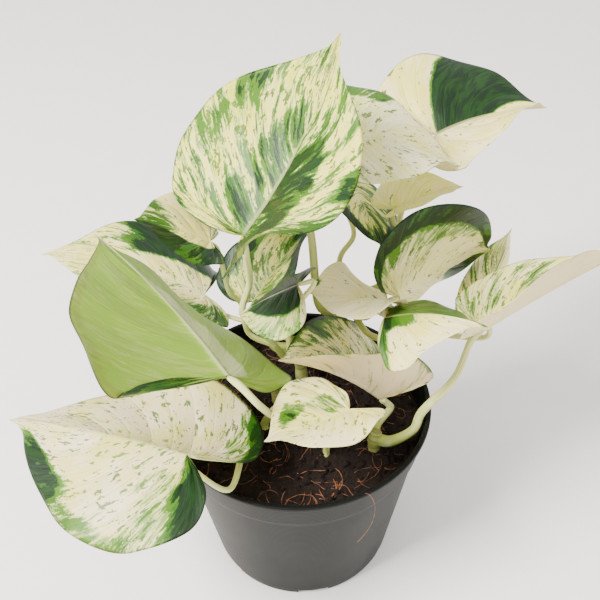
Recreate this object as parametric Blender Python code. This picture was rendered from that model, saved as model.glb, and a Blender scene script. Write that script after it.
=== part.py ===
"""Potted pothos: marbled heart-shaped leaves on short vines, in a round nursery pot.

The pot stands on z = 0 with its axis on the Z axis.  The plant is laid out from the middle of the
soil's surface, so it rises or sinks with the pot.  Each vine, leaf stalk and leaf blade is a solid
of its own, and every piece keeps a small gap to the piece that carries it.
"""
import math

import bmesh
import bpy
import numpy as np
from mathutils import Matrix, Vector

MM = 0.001

# ---- pot (mm) -------------------------------------------------------------------------------
POT_HEIGHT = 94.0
RIM_RADIUS = 62.0           # outside of the rim, at the top
BASE_RADIUS = 45.4          # outside of the wall, where it meets the floor
WALL = 1.4                  # wall thickness
FLOOR = 1.8                 # floor thickness
COLLAR_DEPTH = 17.0         # height of the wider band below the rim
COLLAR_STEP = 1.0           # how far the band stands out from the wall
LIP_DROP = 2.2              # height of the rounded lip
LIP_OUT = 0.9               # how far the lip stands out
BASE_CHAMFER = 1.5
POT_SEGMENTS = 64
DRAIN_COUNT = 6
DRAIN_RADIUS = 4.0          # round holes in the floor
DRAIN_RING = 30.0           # distance of the holes from the axis
NOTCH_WIDTH = 15.0          # slots where the wall meets the floor
NOTCH_HEIGHT = 3.2
NOTCH_DEPTH = 5.0
NOTCH_TURN = math.radians(-84.0)

# ---- soil (mm) ------------------------------------------------------------------------------
SOIL_DROP = 11.0            # soil's edge below the top of the rim
SOIL_CROWN = 1.4            # how much higher its middle is
SOIL_SEGMENTS = 48
GAP = 0.3                   # clearance between a piece and what carries it
SOCKET_DEPTH = 14.0         # how deep a vine is planted

# ---- vines and stalks (mm) ------------------------------------------------------------------
TUBE_SECTIONS = 9           # sections along a stalk
TUBE_RESOLUTION = 2         # bevel resolution, 2 gives 8 sides
FOOT_RUN = 5.0              # first stretch of a stalk, straight out of its vine
SEAT = 2.1                  # distance of a stalk's end from the notch, when it comes in edge-on
SEAT_LIFT = 1.25            # how much closer to the blade's face it ends when it comes in square
SEAT_RUN = 7.0              # last stretch of a stalk, straight into its leaf
FOOT_GAP = 0.45             # distance of a stalk's foot from the side of its vine

# ---- leaves (mm, degrees) -------------------------------------------------------------------
BLADE = 1.0                 # blade thickness
LOBE_SHARE = 0.40           # share of the margin that lies round a basal lobe
# outline of one half blade, from the notch to the tip: share of length, share of half width
OUTLINE = np.array([(0.00, 0.00), (-0.09, 0.12), (-0.19, 0.36), (-0.18, 0.66), (-0.02, 0.91), (0.20, 1.00),
                    (0.45, 0.90), (0.68, 0.62), (0.85, 0.29), (0.95, 0.07), (1.00, 0.00)])
OUTLINE_LOBE = 0.19         # backward reach of the lobe in that outline


class Vine:
    """A short woody vine: points from the soil up, relative to the middle of the soil's surface."""

    def __init__(self, name, radius, points):
        self.name = name
        self.radius = radius
        self.points = points


VINES = [
    Vine("vine_front", 3.0, [(34, -21, 0), (34, -21, 5), (35, -20, 10)]),
    Vine("vine_left", 2.8, [(-10, 8, 0), (-11, 8, 10), (-13, 7, 20)]),
    Vine("vine_crown", 3.0, [(2, 20, 0), (1, 20, 16), (-2, 19, 32)]),
    Vine("vine_right", 2.8, [(45, 26, 0), (45, 25, 12), (45, 23, 24)]),
    Vine("vine_back", 3.2, [(20, 32, 0), (21, 34, 20), (23, 37, 44)]),
]


class Leaf:
    """One heart-shaped blade and its stalk.

    base is the notch where the stalk meets the blade, relative to the middle of the soil.  heading,
    pitch and roll turn the blade there; bend, sway and twist are how much pitch, heading and roll
    change by the tip.  fold lifts each half about the midrib, and curl bends it from midrib to
    margin, near the base and near the tip.  Pairs are the (left, right) halves, looking to the tip.
    """

    def __init__(self, name, base, length, width, heading, pitch, roll, bend=0, sway=0, twist=0,
                 fold=(0, 0), curl_base=(0, 0), curl_tip=(0, 0), lobe=(0.19, 0.19), half=(1, 1),
                 vine="", node=0.5, foot=0, via=(), girth=(1.6, 1.2), lift=0.6):
        self.name = name
        self.base = np.array(base, float)
        self.length = length
        self.width = width
        self.heading = heading
        self.pitch = pitch
        self.roll = roll
        self.bend = bend
        self.sway = sway
        self.twist = twist
        self.fold = fold
        self.curl_base = curl_base
        self.curl_tip = curl_tip
        self.lobe = lobe
        self.half = half
        self.vine = vine        # the vine that carries the stalk, or "" when it grows from the soil
        self.node = node        # where on the vine, 0 at the soil to 1 at its top
        self.foot = foot        # compass angle in which the stalk leaves the vine, or its place
        self.via = via          # points that the stalk passes
        self.girth = girth      # stalk radius at the foot and at the leaf
        self.lift = lift        # how far the stalk comes from under the blade, 0 is in its plane


LEAVES = [
    Leaf("leaf_low_left", (-44, -57, 42), 87, 97, 159, 0, -3, bend=17, sway=-2, twist=-30,
         fold=(0, -57), curl_base=(-20, 76), curl_tip=(-5, 28), lobe=(0.18, 0.22), half=(0.90, 1.21),
         foot=(-25, -20), via=[(-24.9, -26, 11.7), (-29.3, -55.4, 16.9)], girth=(1.9, 0.8), lift=1.0),
    Leaf("leaf_turned_left", (-28, -32, 59), 91, 100, 125, 15, 206, bend=-2, sway=15, twist=6,
         fold=(17, 1), curl_base=(-5, -10), curl_tip=(18, -13), lobe=(0.07, -0.04), half=(0.99, 1.24),
         foot=(-16, -8), via=[(-10.6, -15.7, 21.3), (-9.9, -29.1, 31.3), (-15.1, -41.9, 52.2)],
         girth=(1.9, 1.4), lift=0.35),
    Leaf("leaf_far_left", (-45, 45, 39), 84, 77, 168, 27, 17, bend=35, sway=-2, twist=-18,
         fold=(-10, 16), curl_base=(-4, -35), curl_tip=(-1, 2), lobe=(0.19, 0.03), half=(0.60, 1.04),
         vine="vine_crown", node=0.96, foot=138, via=[(-14.9, 30.4, 30.3), (-30.5, 37.3, 29.7)],
         girth=(1.6, 0.9), lift=0.7),
    Leaf("leaf_small_left", (-36, 20, 89), 34, 50, 195, 38, 3, bend=12, sway=6, twist=-9,
         fold=(-10, 13), curl_base=(-10, -19), curl_tip=(-10, -3), lobe=(0.19, 0.19), half=(0.65, 1.08),
         vine="vine_crown", node=0.87, foot=178,
         via=[(-22.5, 22.7, 32.4), (-25.2, 24.8, 49.1), (-30, 22.1, 59.4)],
         girth=(1.5, 1), lift=0.43),
    Leaf("leaf_crown", (-20, 5, 102), 85, 98, 35, 39, -9, bend=-33, sway=-1, twist=19,
         fold=(19, 23), curl_base=(1, 22), curl_tip=(-7, -59), lobe=(0.08, 0.19), half=(1.11, 1.15),
         vine="vine_crown", node=0.75, foot=239,
         via=[(-14.3, 3.9, 49.8), (-23.1, 4.7, 60.8), (-19.2, 6.3, 76.9)],
         girth=(1.7, 1.4), lift=0.76),
    Leaf("leaf_under_crown", (-20, 29, 47), 46, 56, 41, 42, -8, bend=11, sway=-2, twist=-4,
         fold=(20, 24), curl_base=(-1, 2), curl_tip=(-10, -7), lobe=(0.12, 0.19), half=(0.95, 0.99),
         vine="vine_crown", node=0.56, foot=150, via=[(-12.9, 26.9, 21.3)], girth=(1.6, 1.1), lift=0.65),
    Leaf("leaf_small_centre", (1, -4, 83), 31, 46, 175, -28, 3, bend=15, sway=-6, twist=6,
         fold=(-7, -8), curl_base=(-24, -18), curl_tip=(-11, -17), lobe=(0.11, 0.19), half=(1.09, 1.00),
         vine="vine_crown", node=0.94, foot=262,
         via=[(-3.6, 5.9, 37), (-2.8, 8.7, 57.1), (-0.5, -7.4, 73.3)],
         girth=(1.4, 1), lift=0.26),
    Leaf("leaf_back_right", (68, 75, 107), 52, 78, 13, 22, 8, bend=25, sway=-10, twist=-27,
         fold=(24, 20), curl_base=(-1, -19), curl_tip=(-6, 15), lobe=(0.36, 0.20), half=(1.16, 1.00),
         vine="vine_back", node=0.88, foot=25,
         via=[(49.3, 50.3, 44.2), (50.3, 63.8, 58.9), (59.5, 76.8, 87.2)],
         girth=(1.9, 1.3), lift=0.89),
    Leaf("leaf_back_white", (23, 37, 128), 51, 59, 9, -7, 12, bend=26, sway=-5, twist=-13,
         fold=(15, 10), curl_base=(-9, -24), curl_tip=(-32, 8), lobe=(0.19, 0.19), half=(1.07, 1.00),
         vine="vine_back", node=0.85, foot=215,
         via=[(10.1, 25.4, 49.9), (8.2, 33.1, 77.1), (5, 48.7, 103.4)],
         girth=(2.2, 1.4), lift=0.84),
    Leaf("leaf_small_back", (46, 45, 86), 35, 31, 22, 19, -3, bend=28, sway=-2, twist=11,
         fold=(26, 27), curl_base=(-16, 3), curl_tip=(-6, -4), lobe=(0.19, 0.19), half=(1.02, 1.00),
         vine="vine_back", node=0.78, foot=-11, via=[(48.5, 29, 41.7), (56.2, 42.8, 68.1)],
         girth=(1.4, 1), lift=0.95),
    Leaf("leaf_mottled_back", (29, 68, 85), 40, 41, 289, -13, -24, bend=5, sway=-5, twist=9,
         fold=(-1, 10), curl_base=(-25, -5), curl_tip=(-4, -8), lobe=(0.18, 0.19), half=(1.06, 0.99),
         vine="vine_back", node=0.6, foot=88,
         via=[(22.3, 59.7, 46.6), (29.9, 68.9, 56.2), (23.2, 77.3, 73.1)],
         girth=(1.6, 1.1), lift=0.65),
    Leaf("leaf_right", (46, 12, 62), 61, 71, 35, 20, 64, bend=46, sway=5, twist=10,
         fold=(31, -36), curl_base=(-15, -32), curl_tip=(6, -10), lobe=(0.14, 0.05), half=(1.10, 1.00),
         vine="vine_back", node=0.87, foot=301, via=[(32.2, 24.2, 39.5), (34.4, 15.7, 49.2)],
         girth=(1.9, 1.1), lift=0.56),
    Leaf("leaf_lower_right", (37, -12, 72 - BLADE), 43, 47, -23, 32, -18, bend=32, sway=-12, twist=-25,
         fold=(3, -44), curl_base=(-6, -31), curl_tip=(-14, 5), lobe=(0.19, 0.06), half=(1.01, 1.03),
         vine="vine_right", node=0.95, foot=254,
         via=[(38.9, 0.1, 28.5), (37.7, -5.8, 44.8), (35.2, -14.5, 58.7)],
         girth=(1.7, 1.1), lift=0.8),
    Leaf("leaf_folded_centre", (38, -4, 14), 70, 60, 196, 52, -10, bend=16, sway=22, twist=-9,
         fold=(70, 14), curl_base=(21, -2), curl_tip=(3, -19), lobe=(-0.00, 0.11), half=(1.05, 1.15),
         vine="vine_front", node=0.66, foot=75, via=[(43, -3.6, 5.9)], girth=(2, 1.5), lift=0.01),
    Leaf("leaf_small_front", (21, -37, 43), 39, 49, 210, 5, 13, bend=-5, twist=-13,
         fold=(17, 11), curl_base=(-2, -6), curl_tip=(-19, -9), lobe=(0.20, 0.12), half=(0.98, 1.07),
         foot=(12, -25), via=[(12.7, -27.4, 14.8), (23.1, -32.7, 25.8)], girth=(1.6, 1.2), lift=0.91),
    Leaf("leaf_upright_right", (85, 17, 49), 51, 28, 67, 21, -31, bend=15, sway=-5, twist=-4,
         fold=(18, 32), curl_base=(-8, -2), curl_tip=(-7, -2), lobe=(0.19, 0.19), half=(1.02, 0.97),
         vine="vine_right", node=0.68, foot=378, via=[(65.3, 30.9, 21.1), (88.6, 18.8, 29.3)],
         girth=(1.8, 1.2), lift=0.94),
    Leaf("leaf_far_right", (80, -7, 58), 77, 48, 29, 12, 4, bend=1, sway=-7, twist=-18,
         fold=(20, 72), curl_base=(5, -7), curl_tip=(-18, 4), lobe=(0.05, 0.19), half=(0.85, 0.98),
         vine="vine_front", node=0.48, foot=-9,
         via=[(51.8, -19.2, 8.8), (56, -15.1, 16.6), (67.4, -18.1, 40.1)],
         girth=(2.4, 1.3), lift=0.33),
    Leaf("leaf_cupped_centre", (40, 7, 64), 36, 54, 183, 14, 27, bend=4, twist=-32,
         fold=(6, 14), curl_base=(16, -42), curl_tip=(-15, 3), lobe=(0.08, 0.05), half=(1.02, 1.11),
         vine="vine_back", node=0.94, foot=290, via=[(32.9, 14.5, 38.1), (42.2, 4.4, 44)],
         girth=(1.7, 1.2), lift=0.84),
]

COLOURS = {
    "pot_plastic": ((0.045, 0.050, 0.048), 0.45),
    "soil": ((0.020, 0.011, 0.007), 0.95),
    "vine_bark": ((0.30, 0.33, 0.13), 0.60),
    "leaf_stalk": ((0.50, 0.55, 0.30), 0.45),
    "leaf_blade": ((0.42, 0.50, 0.26), 0.40),
}


def material(name):
    """The Principled material of a finish, made once."""
    if name in bpy.data.materials:
        return bpy.data.materials[name]
    colour, roughness = COLOURS[name]
    made = bpy.data.materials.new(name)
    made.use_nodes = True
    shader = made.node_tree.nodes["Principled BSDF"]
    shader.inputs["Base Color"].default_value = (*colour, 1.0)
    shader.inputs["Roughness"].default_value = roughness
    shader.inputs["Metallic"].default_value = 0.0
    return made


def add_object(name, data, finish=None):
    made = bpy.data.objects.new(name, data)
    bpy.context.scene.collection.objects.link(made)
    if finish:
        data.materials.append(material(finish))
    return made


def turned(name, profile, segments):
    """A mesh turned round the Z axis from (radius, height) points in mm that start and end on it."""
    mesh = bpy.data.meshes.new(name)
    bm = bmesh.new()
    rail = [bm.verts.new((radius * MM, 0.0, height * MM)) for radius, height in profile]
    edges = [bm.edges.new(pair) for pair in zip(rail, rail[1:])]
    bmesh.ops.spin(bm, geom=rail + edges, cent=(0, 0, 0), axis=(0, 0, 1), dvec=(0, 0, 0),
                   angle=math.tau, steps=segments, use_merge=False, use_duplicate=False)
    bmesh.ops.remove_doubles(bm, verts=bm.verts, dist=0.01 * MM)
    bmesh.ops.recalc_face_normals(bm, faces=bm.faces)
    bm.to_mesh(mesh)
    bm.free()
    mesh.shade_smooth()
    mesh.set_sharp_from_angle(angle=math.radians(35))
    return mesh


def cutters(name, shapes):
    """One guide object that holds several closed cutting solids; shapes fill a bmesh."""
    mesh = bpy.data.meshes.new(name)
    bm = bmesh.new()
    for shape in shapes:
        shape(bm)
    bmesh.ops.recalc_face_normals(bm, faces=bm.faces)
    bm.to_mesh(mesh)
    bm.free()
    guide = add_object(name, mesh)
    guide.hide_render = True
    guide.display_type = "WIRE"
    return guide


def cut(target, guide):
    modifier = target.modifiers.new("cut_" + guide.name, "BOOLEAN")
    modifier.operation = "DIFFERENCE"
    modifier.solver = "EXACT"
    modifier.object = guide


def drum(x, y, low, high, radius, sides):
    """A function that adds an upright cylinder to a bmesh; sizes in mm."""
    def fill(bm):
        made = bmesh.ops.create_cone(bm, cap_ends=True, segments=sides, radius1=radius * MM,
                                     radius2=radius * MM, depth=(high - low) * MM)
        bmesh.ops.translate(bm, verts=made["verts"], vec=(x * MM, y * MM, (low + high) / 2 * MM))
    return fill


def block(angle, distance, length, width, height):
    """A function that adds a box at a distance from the axis, turned to face it, centred on z = 0."""
    def fill(bm):
        made = bmesh.ops.create_cube(bm, size=1.0)
        bmesh.ops.scale(bm, verts=made["verts"], vec=(length * MM, width * MM, height * MM))
        bmesh.ops.translate(bm, verts=made["verts"], vec=(distance * MM, 0, 0))
        bmesh.ops.transform(bm, verts=made["verts"], matrix=Matrix.Rotation(angle, 4, "Z"))
    return fill


def wall_radius(height):
    """Outside radius of the plain wall at a height: a straight taper that meets the rim's inside."""
    return BASE_RADIUS + (RIM_RADIUS - LIP_OUT - COLLAR_STEP - BASE_RADIUS) * height / POT_HEIGHT


def make_pot():
    collar = POT_HEIGHT - COLLAR_DEPTH
    lip = POT_HEIGHT - LIP_DROP
    profile = [
        (0.0, 0.0),
        (BASE_RADIUS - BASE_CHAMFER, 0.0),
        (BASE_RADIUS, BASE_CHAMFER),
        (wall_radius(collar), collar),
        (wall_radius(collar + COLLAR_STEP) + COLLAR_STEP, collar + COLLAR_STEP),
        (wall_radius(lip) + COLLAR_STEP, lip),
        (RIM_RADIUS, lip + LIP_OUT / 2),
        (RIM_RADIUS, POT_HEIGHT - LIP_OUT / 2),
        (RIM_RADIUS - LIP_OUT / 2, POT_HEIGHT),
        (inner_radius(POT_HEIGHT), POT_HEIGHT),
        (inner_radius(step_top()), step_top()),
        (inner_radius(step_foot()), step_foot()),
        (inner_radius(FLOOR), FLOOR),
        (0.0, FLOOR),
    ]
    pot = add_object("pot", turned("pot", profile, POT_SEGMENTS), "pot_plastic")
    holes = []
    for index in range(DRAIN_COUNT):
        angle = NOTCH_TURN + math.tau * (index + 0.5) / DRAIN_COUNT
        holes.append(drum(DRAIN_RING * math.cos(angle), DRAIN_RING * math.sin(angle),
                          -FLOOR, 2 * FLOOR, DRAIN_RADIUS, 16))
        notch = NOTCH_TURN + math.tau * index / DRAIN_COUNT
        holes.append(block(notch, BASE_RADIUS, 2 * NOTCH_DEPTH, NOTCH_WIDTH, 2 * NOTCH_HEIGHT))
    cut(pot, cutters("pot_cutter", holes))
    return pot


def soil_level():
    return POT_HEIGHT - SOIL_DROP


def step_foot():
    """Height where the wider band starts, inside the pot."""
    return POT_HEIGHT - COLLAR_DEPTH + WALL


def step_top():
    return step_foot() + COLLAR_STEP


def inner_radius(height):
    """Inside radius of the pot at a height: the wall's taper and the step out to the wider band."""
    return wall_radius(height) - WALL + np.clip(height - step_foot(), 0.0, COLLAR_STEP)


def make_soil():
    bottom = FLOOR + GAP
    edge = soil_level() - SOIL_CROWN
    levels = [bottom] + [level for level in (step_foot(), step_top()) if level < edge] + [edge]
    profile = [(0.0, bottom)] + [(inner_radius(level) - GAP, level) for level in levels]
    profile += [(0.7 * inner_radius(edge), edge + 0.6 * SOIL_CROWN), (0.0, edge + SOIL_CROWN)]
    soil = add_object("soil", turned("soil", profile, SOIL_SEGMENTS), "soil")
    top = soil_level() + SOIL_CROWN
    sockets = []
    for vine in VINES:
        x, y, _ = vine.points[0]
        sockets.append(drum(x, y, soil_level() - SOCKET_DEPTH, top, vine.radius + GAP, 16))
    for leaf in LEAVES:
        if not leaf.vine:
            x, y = leaf.foot
            sockets.append(drum(x, y, soil_level() - SOCKET_DEPTH, top, leaf.girth[0] + GAP, 16))
    cut(soil, cutters("soil_cutter", sockets))
    return soil


def curve_through(points, samples):
    """Points on a smooth curve through the given ones, spaced evenly along it."""
    given = np.array(points, float)
    padded = np.vstack([2 * given[0] - given[1], given, 2 * given[-1] - given[-2]])
    dense = []
    for index in range(len(given) - 1):
        before, start, end, after = padded[index:index + 4]
        for share in np.linspace(0.0, 1.0, 24, endpoint=False):
            dense.append(0.5 * (2 * start + (end - before) * share
                                + (2 * before - 5 * start + 4 * end - after) * share ** 2
                                + (3 * start - before - 3 * end + after) * share ** 3))
    dense.append(given[-1])
    dense = np.array(dense)
    run = np.concatenate([[0.0], np.cumsum(np.linalg.norm(np.diff(dense, axis=0), axis=1))])
    even = np.linspace(0.0, run[-1], samples)
    return np.stack([np.interp(even, run, dense[:, axis]) for axis in range(3)], axis=1)


def tube(name, points, radii, finish):
    """A round tapering solid along points in mm: a curve with a bevel and filled ends."""
    curve = bpy.data.curves.new(name, "CURVE")
    curve.dimensions = "3D"
    curve.bevel_depth = MM
    curve.bevel_resolution = TUBE_RESOLUTION
    curve.use_fill_caps = True
    spline = curve.splines.new("POLY")
    spline.points.add(len(points) - 1)
    for knot, place, radius in zip(spline.points, points, radii):
        knot.co = (*(place * MM), 1.0)
        knot.radius = radius
    spline.use_smooth = True
    return add_object(name, curve, finish)


def in_pot(point):
    """A point given from the middle of the soil's surface, in mm from the pot's base."""
    return np.array(point, float) + (0.0, 0.0, soil_level())


def vine_path(vine):
    rooted = [np.array(vine.points[0], float) - (0, 0, SOCKET_DEPTH - GAP)] + list(vine.points)
    return [in_pot(point) for point in rooted]


def make_vine(vine):
    path = curve_through(vine_path(vine), TUBE_SECTIONS)
    radii = np.full(len(path), vine.radius)
    radii[-1] = 0.7 * vine.radius
    return tube(vine.name, path, radii, "vine_bark")


def axes_at(leaf, shares):
    """Midrib points and the blade's forward, left and up directions at shares of its length."""
    fine = np.linspace(0.0, 1.0, 65)
    heading = np.radians(leaf.heading + leaf.sway * fine)
    pitch = np.radians(leaf.pitch - leaf.bend * fine)
    roll = np.radians(leaf.roll + leaf.twist * fine)[:, None]
    ahead = np.stack([np.cos(pitch) * np.cos(heading), np.cos(pitch) * np.sin(heading), np.sin(pitch)], 1)
    level = np.stack([-np.sin(heading), np.cos(heading), 0 * heading], 1)
    upright = np.cross(ahead, level)
    left = np.cos(roll) * level + np.sin(roll) * upright
    up = np.cos(roll) * upright - np.sin(roll) * level
    steps = 0.5 * (ahead[1:] + ahead[:-1]) / (len(fine) - 1)
    midrib = np.vstack([[0, 0, 0], np.cumsum(steps, axis=0)]) * leaf.length
    inside = np.clip(shares, 0.0, 1.0)
    read = [np.stack([np.interp(inside, fine, values[:, axis]) for axis in range(3)], 1)
            for values in (midrib, ahead, left, up)]
    read[0] = read[0] + read[1] * (np.minimum(shares, 0.0) * leaf.length)[:, None]
    return read


def outline_at(share, lobe):
    """The half blade's outline at a share of the way from the notch to the tip."""
    shape = OUTLINE.copy()
    behind = shape[:, 0] < 0
    shape[behind, 0] *= lobe / OUTLINE_LOBE
    spans = len(shape) - 1
    padded = np.vstack([2 * shape[0] - shape[1], shape, 2 * shape[-1] - shape[-2]])
    place = share * spans
    first = np.minimum(place.astype(int), spans - 1)
    rest = (place - first)[:, None]
    before, start, end, after = (padded[first + step] for step in range(4))
    return 0.5 * (2 * start + (end - before) * rest + (2 * before - 5 * start + 4 * end - after) * rest ** 2
                  + (3 * start - before - 3 * end + after) * rest ** 3)


def blade_points(leaf, along, across, side):
    """Points of a half blade; along runs round the margin, across from the midrib to it."""
    pick = 0 if side > 0 else 1
    margin = outline_at(along, leaf.lobe[pick])
    root = np.clip((along - LOBE_SHARE) / (1 - LOBE_SHARE), 0, 1) ** 1.15
    forward = root + (margin[:, 0] - root) * across ** 1.2
    outward = margin[:, 1] * across
    centre, ahead, left, up = axes_at(leaf, forward)
    inside = np.clip(forward, 0, 1)
    curl = np.radians(leaf.curl_base[pick] * (1 - inside) + leaf.curl_tip[pick] * inside)
    reach = outward * leaf.width / 2 * leaf.half[pick]
    steps = 14
    aside = np.zeros_like(reach)
    rise = np.zeros_like(reach)
    for step in range(steps):
        slope = np.radians(leaf.fold[pick]) + curl * outward * (step + 0.5) / steps
        aside += np.cos(slope) * reach / steps
        rise += np.sin(slope) * reach / steps
    return centre + left * (side * aside)[:, None] + up * rise[:, None]


def blade_sheet(leaf, rows, columns):
    """Vertices in mm and faces of the flat sheet down the middle of the blade, facing up."""
    lobe_rows = round(rows * LOBE_SHARE)
    along = np.concatenate([np.linspace(0, LOBE_SHARE, lobe_rows + 1),
                            np.linspace(LOBE_SHARE, 1, rows - lobe_rows + 1)[1:]])
    across = np.linspace(0, 1, columns + 1)
    grid_along, grid_across = (values.ravel() for values in np.meshgrid(along, across, indexing="ij"))
    vertices = []
    faces = []
    for side in (1, -1):
        start = len(vertices)
        vertices.extend(in_pot(leaf.base) + blade_points(leaf, grid_along, grid_across, side))
        for row in range(rows):
            for column in range(columns):
                corner = start + row * (columns + 1) + column
                face = [corner, corner + columns + 1, corner + columns + 2, corner + 1]
                faces.append(face if side > 0 else face[::-1])
    return vertices, faces


def make_blade(leaf):
    rows, columns = (12, 3) if leaf.length > 50 else (9, 3)
    vertices, faces = blade_sheet(leaf, rows, columns)
    bm = bmesh.new()
    knots = [bm.verts.new(Vector(place) * MM) for place in vertices]
    for face in faces:
        bm.faces.new([knots[index] for index in face])
    bmesh.ops.remove_doubles(bm, verts=bm.verts, dist=0.05 * MM)
    bmesh.ops.dissolve_degenerate(bm, edges=bm.edges, dist=0.01 * MM)
    mesh = bpy.data.meshes.new(leaf.name)
    bm.to_mesh(mesh)
    bm.free()
    mesh.shade_smooth()
    blade = add_object(leaf.name, mesh, "leaf_blade")
    solid = blade.modifiers.new("thickness", "SOLIDIFY")
    solid.thickness = BLADE * MM
    solid.offset = 0.0
    solid.use_rim = True
    return blade


def stalk_points(leaf):
    """Control points of a leaf's stalk, from its vine or the soil to the notch of the blade."""
    if leaf.vine:
        vine = next(vine for vine in VINES if vine.name == leaf.vine)
        above = curve_through([in_pot(point) for point in vine.points], 21)
        node = above[round(20 * leaf.node)]
        out = np.array([math.cos(math.radians(leaf.foot)), math.sin(math.radians(leaf.foot)), 0.0])
        start = node + out * (vine.radius + FOOT_GAP)
        first = [start, start + out * FOOT_RUN]
    else:
        x, y = leaf.foot
        first = [in_pot((x, y, GAP - SOCKET_DEPTH)), in_pot((x, y, 0)), in_pot((x, y, 4))]
    _, ahead, _, up = (values[0] for values in axes_at(leaf, np.zeros(1)))
    enter = ahead * math.sqrt(1 - leaf.lift ** 2) + up * leaf.lift
    end = in_pot(leaf.base) - enter * (SEAT + (BLADE / 2 - SEAT_LIFT) * leaf.lift)
    return first + [in_pot(point) for point in leaf.via] + [end - enter * SEAT_RUN, end]


def make_stalk(leaf):
    path = curve_through(stalk_points(leaf), TUBE_SECTIONS + 3)
    radii = np.linspace(leaf.girth[0], leaf.girth[1], len(path))
    return tube(leaf.name.replace("leaf_", "stalk_"), path, radii, "leaf_stalk")


def clear_scene():
    for old in list(bpy.data.objects):
        bpy.data.objects.remove(old, do_unlink=True)


def main():
    clear_scene()
    make_pot()
    make_soil()
    for vine in VINES:
        make_vine(vine)
    for leaf in LEAVES:
        make_blade(leaf)
        make_stalk(leaf)


main()
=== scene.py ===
"""Looks for the potted pothos: marbled leaves, stalks, stems, potting mix and nursery pot."""
import math

import bpy
import numpy as np
from mathutils import Matrix, Vector


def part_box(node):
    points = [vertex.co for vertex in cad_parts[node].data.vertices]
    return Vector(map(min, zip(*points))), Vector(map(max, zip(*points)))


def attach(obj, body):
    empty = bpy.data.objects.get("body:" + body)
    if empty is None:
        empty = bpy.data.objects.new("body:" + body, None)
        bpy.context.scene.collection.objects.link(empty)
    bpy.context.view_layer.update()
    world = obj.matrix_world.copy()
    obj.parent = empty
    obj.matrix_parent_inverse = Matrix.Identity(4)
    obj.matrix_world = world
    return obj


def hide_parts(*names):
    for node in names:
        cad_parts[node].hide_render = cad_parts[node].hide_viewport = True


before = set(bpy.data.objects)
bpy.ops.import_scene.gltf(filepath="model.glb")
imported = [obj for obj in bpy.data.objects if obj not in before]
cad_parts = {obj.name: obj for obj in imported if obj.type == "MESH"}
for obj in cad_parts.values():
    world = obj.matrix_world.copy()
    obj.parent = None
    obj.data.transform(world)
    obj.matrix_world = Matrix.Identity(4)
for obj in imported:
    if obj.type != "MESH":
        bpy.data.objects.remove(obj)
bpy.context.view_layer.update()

MM = 0.001
RANDOM = np.random.default_rng(11)

# ---- pot and soil (mm), the same driving sizes as the solid model ----------------------------
_, pot_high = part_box("pot")
POT_HEIGHT = pot_high.z / MM
RIM_RADIUS = pot_high.x / MM
BASE_RADIUS = 45.4
WALL = 1.4
FLOOR = 1.8
COLLAR_DEPTH = 17.0
COLLAR_STEP = 1.0
LIP_DROP = 2.2
LIP_OUT = 0.9
BASE_CHAMFER = 1.5
DRAIN_COUNT = 6
DRAIN_RADIUS = 4.0
DRAIN_RING = 30.0
NOTCH_WIDTH = 15.0
NOTCH_HEIGHT = 3.2
NOTCH_DEPTH = 5.0
NOTCH_TURN = math.radians(-84.0)
SOIL_DROP = 11.0
SOIL_CROWN = 1.4
SOIL_GAP = 0.35             # clearance to the pot's wall
SOIL_LIFT = 0.4             # clearance to the pot's floor
SOIL_SEED = 5
SOIL_LUMPS = [(16.0, 0.9), (5.0, 0.55), (2.2, 0.30)]    # size and height
CRUMB_COUNT = 420
FIBRE_COUNT = 230
SOCKET_DEPTH = 14.0
SOIL_LEVEL = POT_HEIGHT - SOIL_DROP
FOOT_RUN = 5.0
SEAT_RUN = 7.0

# ---- leaf outline: share of length, share of half width, from the notch to the tip ----------
LOBE_SHARE = 0.40
OUTLINE = np.array([(0.00, 0.00), (-0.09, 0.12), (-0.19, 0.36), (-0.18, 0.66), (-0.02, 0.91), (0.20, 1.00),
                    (0.45, 0.90), (0.68, 0.62), (0.85, 0.28), (0.95, 0.075), (1.03, 0.00)])
OUTLINE_LOBE = 0.19
THICKNESS = 0.5             # blade thickness, mm
MIDRIB = 0.8                # how far the midrib stands out below, mm
ROWS = 112                  # grid lines round the margin
COLUMNS = 30                # grid lines from the midrib to the margin
SIDE_VEINS = 9              # veins of one half
VEIN_SWEEP = 0.16           # how far a side vein runs forward from the midrib to the margin
PUCKER = 1.1                # swelling between the side veins
RUFFLE = 2.0                # how far the margin waves
RUFFLE_LEAF = 98            # width of the leaf that those two are given for

# ---- camera and room: mm, radians and the sky light's strength --------------------------------
CAMERA_TARGET = (2.0, 0.0, 154.5)
CAMERA_DISTANCE = 338.0
CAMERA_RISE = math.radians(40.0)
CAMERA_ROLL = math.radians(-1.6)
CAMERA_LENS = 48.0
CAMERA_SENSOR = 36.0
SKY_STRENGTH = 1.35


def in_pot(point):
    """A plant point in mm, given from the middle of the soil's surface, in the part's frame."""
    return np.array(point, float) + (0.0, 0.0, SOIL_LEVEL)


class Vine:
    """A short woody vine: points from the soil up, relative to the middle of the soil's surface."""

    def __init__(self, name, radius, points):
        self.name = name
        self.radius = radius
        self.points = points


VINES = [
    Vine("vine_front", 3.0, [(34, -21, 0), (34, -21, 5), (35, -20, 10)]),
    Vine("vine_left", 2.8, [(-10, 8, 0), (-11, 8, 10), (-13, 7, 20)]),
    Vine("vine_crown", 3.0, [(2, 20, 0), (1, 20, 16), (-2, 19, 32)]),
    Vine("vine_right", 2.8, [(45, 26, 0), (45, 25, 12), (45, 23, 24)]),
    Vine("vine_back", 3.2, [(20, 32, 0), (21, 34, 20), (23, 37, 44)]),
]


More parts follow.
